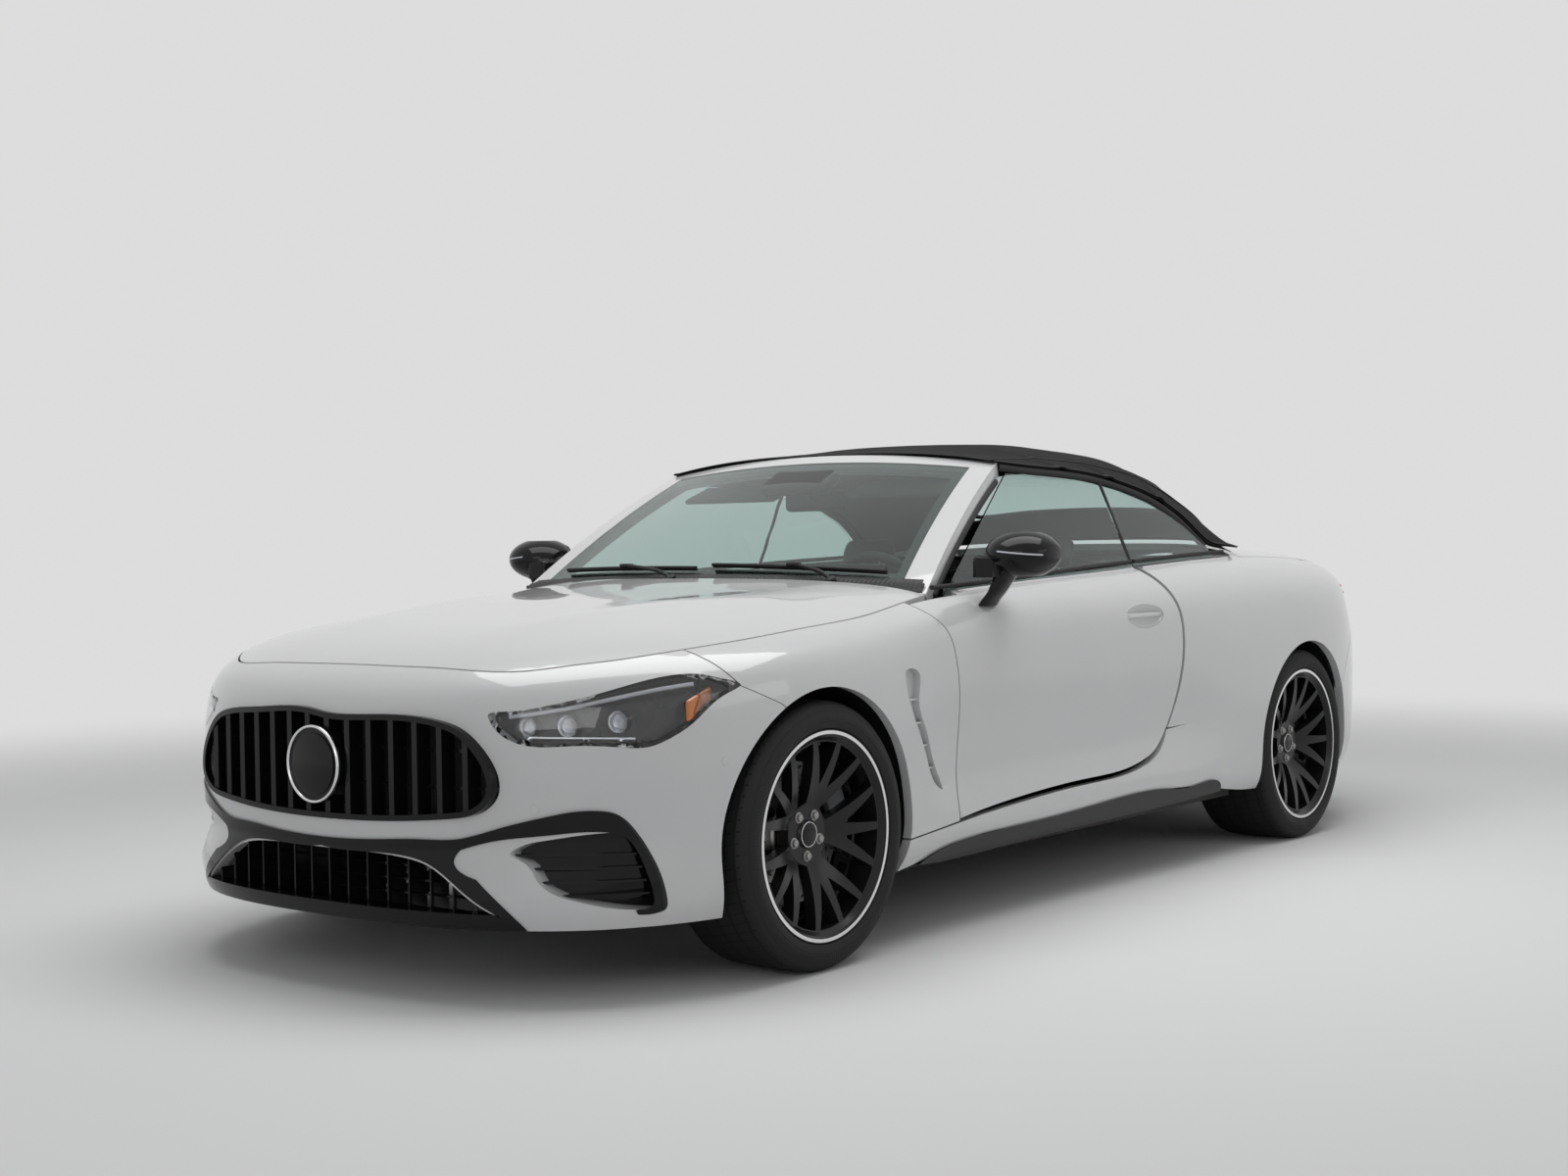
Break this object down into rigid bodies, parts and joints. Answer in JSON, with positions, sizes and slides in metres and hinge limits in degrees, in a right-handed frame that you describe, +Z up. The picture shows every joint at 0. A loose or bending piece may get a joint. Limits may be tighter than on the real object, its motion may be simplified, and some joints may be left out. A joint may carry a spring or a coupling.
{
  "type": "soft-top convertible car",
  "caption": "Two-door four-seat convertible car with a closed fabric soft top, forked-spoke wheels, opening doors, hood and boot lid, and working steering.",
  "frame": {"origin": "on the ground under the middle of the car's length and width", "axes": "+Z up, nose towards -Y, +X to the car's left side"},
  "size_m": [2.1196, 4.8476, 1.4244],
  "materials": {
    "black_plastic": "satin",
    "body_paint": "gloss pearl, pale grey white",
    "cabin_leather": "soft",
    "cabin_plastic": "soft touch",
    "caliper_paint": "satin silver grey",
    "chassis_black": "satin",
    "clear_glass": "clear, light green",
    "disc_iron": "turned",
    "exhaust_steel": "polished tips",
    "forged_metal": "cast",
    "gloss_black": "gloss",
    "headlamp_lens": "clear",
    "soft_top_cloth": "woven, matte",
    "tail_lamp_lens": "gloss red",
    "tyre_rubber": "matte",
    "wheel_black": "gloss with machined lip"
  },
  "bodies": {
    "chassis": {"console": "cabin_plastic", "dashboard": "cabin_plastic", "engine": "forged_metal", "exhaust": "exhaust_steel", "fender_left": "body_paint", "fender_right": "body_paint", "fender_vents": "body_paint", "floor_pan": "chassis_black", "front_axle": "chassis_black", "front_bumper": "body_paint", "front_structure": "chassis_black", "grille": "gloss_black", "headlamps": "headlamp_lens", "lower_grille": "gloss_black", "nose_trim": "gloss_black", "quarter_glass": "clear_glass", "quarter_left": "body_paint", "quarter_right": "body_paint", "rear_axle": "chassis_black", "rear_bumper": "body_paint", "rear_calipers": "caliper_paint", "rear_seat": "cabin_leather", "rear_structure": "chassis_black", "rear_valance": "gloss_black", "rear_window": "clear_glass", "seat_left": "cabin_leather", "seat_right": "cabin_leather", "side_skirts": "gloss_black", "sills": "body_paint", "soft_top": "soft_top_cloth", "tail_lamps": "tail_lamp_lens", "tonneau_lid": "body_paint", "wheel_liners": "black_plastic", "windscreen": "clear_glass", "windscreen_frame": "body_paint"},
    "boot_body": {"boot_lid": "body_paint"},
    "wheel_front_left": {"brake_disc_front_left": "disc_iron", "rim_front_left": "wheel_black", "tyre_front_left": "tyre_rubber"},
    "wheel_front_right": {"brake_disc_front_right": "disc_iron", "rim_front_right": "wheel_black", "tyre_front_right": "tyre_rubber"},
    "wheel_rear_left": {"brake_disc_rear_left": "disc_iron", "rim_rear_left": "wheel_black", "tyre_rear_left": "tyre_rubber"},
    "wheel_rear_right": {"brake_disc_rear_right": "disc_iron", "rim_rear_right": "wheel_black", "tyre_rear_right": "tyre_rubber"},
    "steered_left": {"caliper_left": "caliper_paint", "knuckle_left": "forged_metal"},
    "steered_right": {"caliper_right": "caliper_paint", "knuckle_right": "forged_metal"},
    "door_body_left": {"door_glass_left": "clear_glass", "door_left": "body_paint", "mirror_left": "gloss_black"},
    "door_body_right": {"door_glass_right": "clear_glass", "door_right": "body_paint", "mirror_right": "gloss_black"},
    "hood_body": {"hood": "body_paint"},
    "steering_wheel_body": {"steering_wheel": "cabin_plastic"}
  },
  "joints": [
    {"name": "steer_left", "type": "hinge", "parent": "chassis", "child": "steered_left", "pos_m": [0.76433, -1.551, 0.345], "axis": [0, 0, 1], "range_deg": [-33, 33]},
    {"name": "steer_right", "type": "hinge", "parent": "chassis", "child": "steered_right", "pos_m": [-0.76433, -1.551, 0.345], "axis": [0, 0, 1], "range_deg": [-33, 33]},
    {"name": "wheel_front_left_spin", "type": "hinge", "parent": "steered_left", "child": "wheel_front_left", "pos_m": [0.8, -1.551, 0.345], "axis": [1, 0, 0], "continuous": true},
    {"name": "wheel_rear_left_spin", "type": "hinge", "parent": "chassis", "child": "wheel_rear_left", "pos_m": [0.8, 1.324, 0.341], "axis": [1, 0, 0], "continuous": true},
    {"name": "wheel_front_right_spin", "type": "hinge", "parent": "steered_right", "child": "wheel_front_right", "pos_m": [-0.8, -1.551, 0.345], "axis": [1, 0, 0], "continuous": true},
    {"name": "wheel_rear_right_spin", "type": "hinge", "parent": "chassis", "child": "wheel_rear_right", "pos_m": [-0.8, 1.324, 0.341], "axis": [1, 0, 0], "continuous": true},
    {"name": "door_left_hinge", "type": "hinge", "parent": "chassis", "child": "door_body_left", "pos_m": [0.935, -1.019, 0.6], "axis": [0, 0, -1], "range_deg": [0, 65]},
    {"name": "door_right_hinge", "type": "hinge", "parent": "chassis", "child": "door_body_right", "pos_m": [-0.935, -1.019, 0.6], "axis": [0, 0, 1], "range_deg": [0, 65]},
    {"name": "hood_hinge", "type": "hinge", "parent": "chassis", "child": "hood_body", "pos_m": [0, -0.885, 0.955], "axis": [-1, 0, 0], "range_deg": [0, 50]},
    {"name": "boot_hinge", "type": "hinge", "parent": "chassis", "child": "boot_body", "pos_m": [0, 1.7165, 1.064], "axis": [1, 0, 0], "range_deg": [0, 72]},
    {"name": "steering_wheel_turn", "type": "hinge", "parent": "chassis", "child": "steering_wheel_body", "pos_m": [0.372, -0.4815, 0.8758], "axis": [0, 0.9136, 0.4067], "range_deg": [-470, 470]}
  ],
  "couplings": [
    {"joint": "steer_right", "follows": "steer_left", "ratio": 1},
    {"joint": "steering_wheel_turn", "follows": "steer_left", "ratio": 14}
  ]
}
